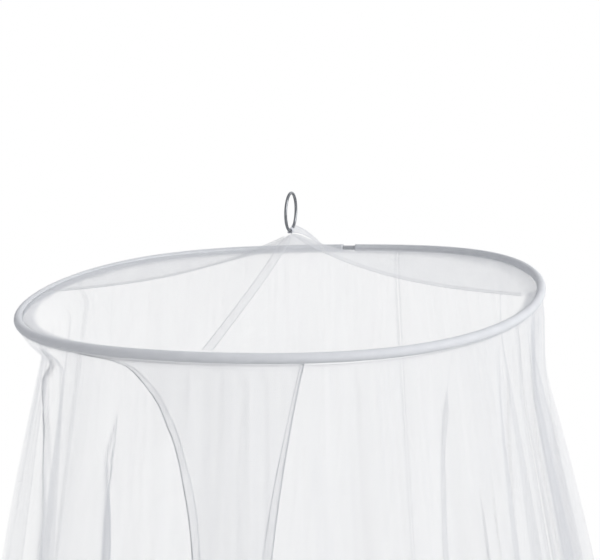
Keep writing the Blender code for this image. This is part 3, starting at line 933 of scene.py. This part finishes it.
class CANOPY_OT_sleeve(bpy.types.Operator):
    """Build the cloth tunnel round the rod."""

    bl_idname = "canopy.sleeve"
    bl_label = "Sleeve"

    def execute(self, context):
        """A tube along the hoop with an opening at the back. Its radius dips by small cosines, the puckers
        that the sewing draws in, mostly on the underside."""
        sizes = context.scene.canopy_sizes
        middle, half = from_azimuth(SLEEVE_OPENING_AZIMUTH), radians(SLEEVE_OPENING_HALF)
        turn = np.linspace(middle + half, middle + 2 * pi - half, 2 * sizes.turn_steps)[:, None]
        around = np.linspace(0, 2 * pi, sizes.tube_sides + 4, endpoint=False)[None, :]
        pucker = np.zeros(turn.shape)
        for number, size, phase, _ in wave_table(7, (40, 260), 1.0, WAVE_SEED + 2):
            pucker = pucker + size * np.cos(number * turn + phase)
        underside = 0.35 + 0.65 * smooth(0.5 - 0.5 * np.sin(around))
        radius = SLEEVE_RADIUS - 0.00012 - 0.00005 * pucker * underside
        points = round_the_hoop(turn, radius, around)
        length = (turn - turn[0]) * HOOP_RADIUS
        girth = np.append(around, 2 * pi)[None, :] * SLEEVE_RADIUS
        points = np.concatenate([points, points[:, :1]], axis=1)
        flat = np.stack(np.broadcast_arrays(length, girth), axis=-1)
        faces = grid_faces(*points.shape[:2])
        sleeve = mesh_piece("sleeve", points, faces, finish("white_sleeve_cloth"), flat)
        weld_doubles(sleeve)
        give_thickness(sleeve, 0.0009, -1)
        keep(sleeve, "hoop_sleeve")
        return {"FINISHED"}


class CANOPY_OT_loop(bpy.types.Operator):
    """Build the tape loop between the roof's peak and the ring."""

    bl_idname = "canopy.loop"
    bl_label = "Peak loop"

    def execute(self, context):
        """A closed band: a half circle over the wire, two straight sides and a flat bottom with round
        corners."""
        wire_z = RING_CENTRE_Z - RING_RADIUS
        reach = RING_WIRE_RADIUS + PIECE_GAP + LOOP_THICK / 2
        corner, bottom = 0.0009, LOOP_BOTTOM_Z + LOOP_THICK / 2
        over = np.linspace(0, pi, 25)
        low_left, low_right = np.linspace(pi, 1.5 * pi, 8), np.linspace(1.5 * pi, 2 * pi, 8)
        across = np.concatenate([reach * np.cos(over), -reach + corner + corner * np.cos(low_left),
                                 reach - corner + corner * np.cos(low_right)])
        height = np.concatenate([wire_z + reach * np.sin(over), bottom + corner + corner * np.sin(low_left),
                                 bottom + corner + corner * np.sin(low_right)])
        lengthwise = np.linspace(-LOOP_WIDTH / 2, LOOP_WIDTH / 2, 7)[None, :]
        across, height = across[:, None], height[:, None]
        x = across * cos(RING_TURN) + lengthwise * sin(RING_TURN)
        y = -across * sin(RING_TURN) + lengthwise * cos(RING_TURN)
        points = np.stack(np.broadcast_arrays(x, y, height), axis=-1)
        steps = np.linalg.norm(np.diff(points[:, 0], axis=0, append=points[:1, 0]), axis=1)
        girth = np.append(0, np.cumsum(steps[:-1]))[:, None]
        flat = np.stack(np.broadcast_arrays(lengthwise, girth), axis=-1)
        faces = grid_faces(*points.shape[:2], True, False)
        loop = mesh_piece("loop", points, faces, finish("white_tape"), flat)
        give_thickness(loop, LOOP_THICK * 0.9)
        keep(loop, "peak_loop")
        return {"FINISHED"}


class CANOPY_OT_roof(bpy.types.Operator):
    """Build the roof's four net gores."""

    bl_idname = "canopy.roof"
    bl_label = "Roof net"

    def execute(self, context):
        """Each gore is the roof surface between two seams, its edges half a gap from the seam, with faint
        pulls that run from the peak: cosines of the azimuth times a half sine of the way out."""
        for number, seam in enumerate(ROOF_SEAMS):
            following = ROOF_SEAMS[(number + 1) % len(ROOF_SEAMS)]
            span = (following["azimuth"] - seam["azimuth"]) % 360
            first = (PEAK_RADIUS / HOOP_RADIUS) ** ROOF_SPREAD
            share = np.linspace(first, ROOF_REACH, ROOF_ROWS)[:, None] ** (1 / ROOF_SPREAD)
            inset = np.degrees(PIECE_GAP / 2 / (HOOP_RADIUS * share))
            across = np.linspace(0, 1, ROOF_COLUMNS)[None, :]
            azimuth = seam["azimuth"] + inset + (span - 2 * inset) * across
            points = roof_point(azimuth, share)
            pulls = sum(
                size * np.cos(count * np.radians(azimuth) + phase + drift * share)
                for count, size, phase, drift in wave_table(7, (16, 40), 0.00012, WAVE_SEED + 3)
            )
            points[..., 2] += pulls * np.sin(pi * share) * np.sin(pi * across)
            flat = np.stack([points[..., 0], points[..., 1]], axis=-1)
            inwards = (1 - share) * HOOP_RADIUS
            # The rim's extra density is partly its sewn seam and partly a painted shade line against the
            # sleeve. The gore's own density, below, is painted light on the front gores and painted shade on
            # the back ones.
            rim = RIM_SEAM_AND_PAINTED_SHADE[number] * (1 - smooth((inwards - RIM_WIDTH) / RIM_EDGE))
            peak = PEAK_DENSITY * np.exp(-share / PEAK_DENSE_SHARE)
            density = (GORE_PAINTED_LIGHT_AND_SHADE[number] + rim + peak) * np.ones(points.shape[:2])
            name = f"roof_{seam['name']}_to_{following['name']}"
            faces = grid_faces(*points.shape[:2])
            gore = mesh_piece(f"net_{name}", points, faces, finish("white_net"), flat, density)
            give_thickness(gore, NET_THICK)
            keep(gore, name)
            rim = float(np.linalg.norm(np.diff(points[-1], axis=0), axis=1).sum())
        return {"FINISHED"}


class CANOPY_OT_tapes(bpy.types.Operator):
    """Build the tapes over the roof's seams."""

    bl_idname = "canopy.tapes"
    bl_label = "Seam tapes"

    def execute(self, context):
        """A strip of the same net along each seam, narrower at the peak. Its sideways vector lies in the
        cloth, and a leaning tape turns about the seam by its lean. It is raised clear of the net, and its
        edges look dense."""
        shares = (np.linspace(TAPE_START_SHARE**0.6, (1 - ROOF_RIM_SHARE) ** 0.6, 90)) ** (1 / 0.6)
        for seam in ROOF_SEAMS:
            centre = roof_point(seam["azimuth"], shares)
            along = np.gradient(centre, axis=0)
            along /= np.linalg.norm(along, axis=1)[:, None]
            spread = np.minimum(np.degrees(TAPE_WIDTH / 2 / (HOOP_RADIUS * shares)), TAPE_MOST_TURN)
            side = roof_point(seam["azimuth"] + spread, shares) - roof_point(seam["azimuth"] - spread, shares)
            side /= np.linalg.norm(side, axis=1)[:, None]
            up = np.cross(along, side)
            out = shares[:, None]
            lean = radians(seam["lean"]) * smooth(out / TAPE_FULL_SHARE)
            half = TAPE_WIDTH / 2 * np.clip(out / TAPE_FULL_SHARE, TAPE_PEAK_WIDTH, 1)
            rise = NET_ROOM / 2 + PIECE_GAP + TAPE_THICK / 2 + half * np.sin(lean)
            edge = (side * np.cos(lean) + up * np.sin(lean)) * half
            reach = np.array([-1, -0.93, -0.86, -0.4, 0, 0.4, 0.86, 0.93, 1])[None, :]
            points = (centre + up * rise)[:, None, :] + edge[:, None, :] * reach[..., None]
            length = np.append(0, np.cumsum(np.linalg.norm(np.diff(centre, axis=0), axis=1)))
            flat = np.stack(np.broadcast_arrays(half * reach, length[:, None]), axis=-1)
            inner, run = TAPE_EDGE
            density = TAPE_DENSITY + EDGE_DENSITY * smooth((np.abs(reach) - inner) / run)
            density = density * (LEANING_TAPE if seam["lean"] else 1.0) * np.ones(points.shape[:2])
            name = f"tape_{seam['name']}"
            tape = mesh_piece(name, points, grid_faces(*points.shape[:2]), finish("white_net"), flat, density)
            give_thickness(tape, NET_THICK)
            keep(tape, f"seam_tape_{seam['name']}")
        return {"FINISHED"}


class CANOPY_OT_skirt(bpy.types.Operator):
    """Build the skirt's four net panels, with their edges and hems turned under."""

    bl_idname = "canopy.skirt"
    bl_label = "Skirt net"

    def execute(self, context):
        for panel in SKIRT_PANELS:
            points, density = skirt_grid(panel)
            faces = grid_faces(*points.shape[:2])
            flat = flat_coordinates(points)
            cloth = mesh_piece(f"net_{panel['name']}", points, faces, finish("white_net"), flat, density)
            give_thickness(cloth, NET_THICK)
            keep(cloth, panel["name"])
        return {"FINISHED"}


class CANOPY_OT_stitches(bpy.types.Operator):
    """Sew the sleeve, the entry's hems and the bottom hem with rows of small stitches."""

    bl_idname = "canopy.stitches"
    bl_label = "Stitches"

    def execute(self, context):
        """Rows of stitches along lines that lie just clear of the cloth they sew."""
        clear = SLEEVE_RADIUS + STITCH_CLEAR / 2
        middle, half = from_azimuth(SLEEVE_OPENING_AZIMUTH), radians(SLEEVE_OPENING_HALF)
        open_turn = np.linspace(middle + half, middle + 2 * pi - half, 721)
        sewn = [round_the_hoop(open_turn, clear, radians(angle)) for angle in SLEEVE_SEAM_ANGLES]
        self.sew(context, "stitches_sleeve", sewn)

        depth = SKIRT_DROP * np.linspace(0.002, 1, 500)[:, None]
        rows = []
        for panel in SKIRT_PANELS:
            radius = skirt_radius(panel_azimuth(panel, 0.5, depth), depth, panel["first"])
            left_fold, right_fold = np.degrees(side_folds(panel, depth) / radius)
            if panel["name"] == "skirt_front":
                azimuth = panel_azimuth(panel, 0.0, depth) + left_fold
                rows.append(skirt_point(panel, azimuth, depth, -STITCH_CLEAR)[:, 0])
            if panel["name"] == "skirt_left":
                azimuth = panel_azimuth(panel, 1.0, depth) - right_fold
                rows.append(skirt_point(panel, azimuth, depth, -STITCH_CLEAR)[:, 0])
            across = np.linspace(0.01, 0.99, 600)[None, :]
            hem_depth = np.full((1, 1), SKIRT_DROP - BOTTOM_HEM)
            azimuth = panel_azimuth(panel, across, hem_depth)
            rows.append(skirt_point(panel, azimuth, hem_depth, -STITCH_CLEAR)[0])
        self.sew(context, "stitches_hems", rows)
        return {"FINISHED"}

    def sew(self, context, name, lines):
        """Each stitch is a spindle of four sides: a point, two square rings and a point, laid along its
        line."""
        pitch = context.scene.canopy_sizes.stitch
        points = []
        for line in lines:
            run = np.append(0, np.cumsum(np.linalg.norm(np.diff(line, axis=0), axis=1)))
            start = np.arange(0, run[-1] - pitch, pitch)
            ends = [
                np.stack([np.interp(start + pitch * part, run, line[:, axis]) for axis in range(3)], axis=-1)
                for part in (0, STITCH_SHARE)
            ]
            along = ends[1] - ends[0]
            aside = np.cross(along, (0.0, 0.0, 1.0)) + np.cross(along, (0.01, 0.0, 0.0))
            aside /= np.linalg.norm(aside, axis=1)[:, None]
            above = np.cross(aside, along)
            above /= np.linalg.norm(above, axis=1)[:, None]
            rings = [ends[0] + along * part + STITCH_RADIUS * (aside * side + above * lift)
                     for part in (0.2, 0.8) for side, lift in ((1, 0), (0, 1), (-1, 0), (0, -1))]
            points.append(np.stack([ends[0], *rings, ends[1]], axis=1))
        points = np.concatenate(points)
        starts = np.arange(len(points))[:, None, None] * points.shape[1]
        faces = (starts + np.array(STITCH_FACES)).reshape(-1, 4).tolist()
        mesh = bpy.data.meshes.new(name)
        mesh.from_pydata(points.reshape(-1, 3).tolist(), [], [tuple(dict.fromkeys(face)) for face in faces])
        mesh.materials.append(finish("sewing_thread"))
        thread = bpy.data.objects.new(name, mesh)
        context.scene.collection.objects.link(thread)
        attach(thread, "root")


def weld_doubles(piece):
    """Merges the doubled seam of a closed tube, which the cloth coordinates need open."""
    whole = bmesh.new()
    whole.from_mesh(piece.data)
    bmesh.ops.remove_doubles(whole, verts=whole.verts, dist=1e-6)
    whole.to_mesh(piece.data)
    whole.free()


PIECES = (
    CANOPY_OT_ring,
    CANOPY_OT_hoop,
    CANOPY_OT_sleeve,
    CANOPY_OT_loop,
    CANOPY_OT_roof,
    CANOPY_OT_tapes,
    CANOPY_OT_skirt,
    CANOPY_OT_stitches,
)


class VIEW3D_PT_canopy(bpy.types.Panel):
    """Buttons for the canopy's pieces, and their sizes and colours."""

    bl_label = "Net canopy"
    bl_idname = "VIEW3D_PT_canopy"
    bl_space_type = "VIEW_3D"
    bl_region_type = "UI"
    bl_category = "Canopy"

    def draw(self, context):
        for settings in (context.scene.canopy_looks, context.scene.canopy_sizes):
            for name in settings.__annotations__:
                self.layout.prop(settings, name)
        for piece in (CANOPY_OT_stage, *PIECES):
            self.layout.operator(piece.bl_idname)


CLASSES = (CanopyLooks, CanopySizes, CANOPY_OT_stage, *PIECES, VIEW3D_PT_canopy)


def register():
    for item in CLASSES:
        bpy.utils.register_class(item)
    bpy.types.Scene.canopy_looks = PointerProperty(type=CanopyLooks)
    bpy.types.Scene.canopy_sizes = PointerProperty(type=CanopySizes)


def unregister():
    del bpy.types.Scene.canopy_looks
    del bpy.types.Scene.canopy_sizes
    for item in reversed(CLASSES):
        bpy.utils.unregister_class(item)


def main():
    register()
    bpy.ops.canopy.stage()
    bpy.ops.canopy.ring()
    bpy.ops.canopy.hoop()
    bpy.ops.canopy.sleeve()
    bpy.ops.canopy.loop()
    bpy.ops.canopy.tapes()
    bpy.ops.canopy.roof()
    bpy.ops.canopy.skirt()
    bpy.ops.canopy.stitches()


if __name__ == "__main__":
    main()
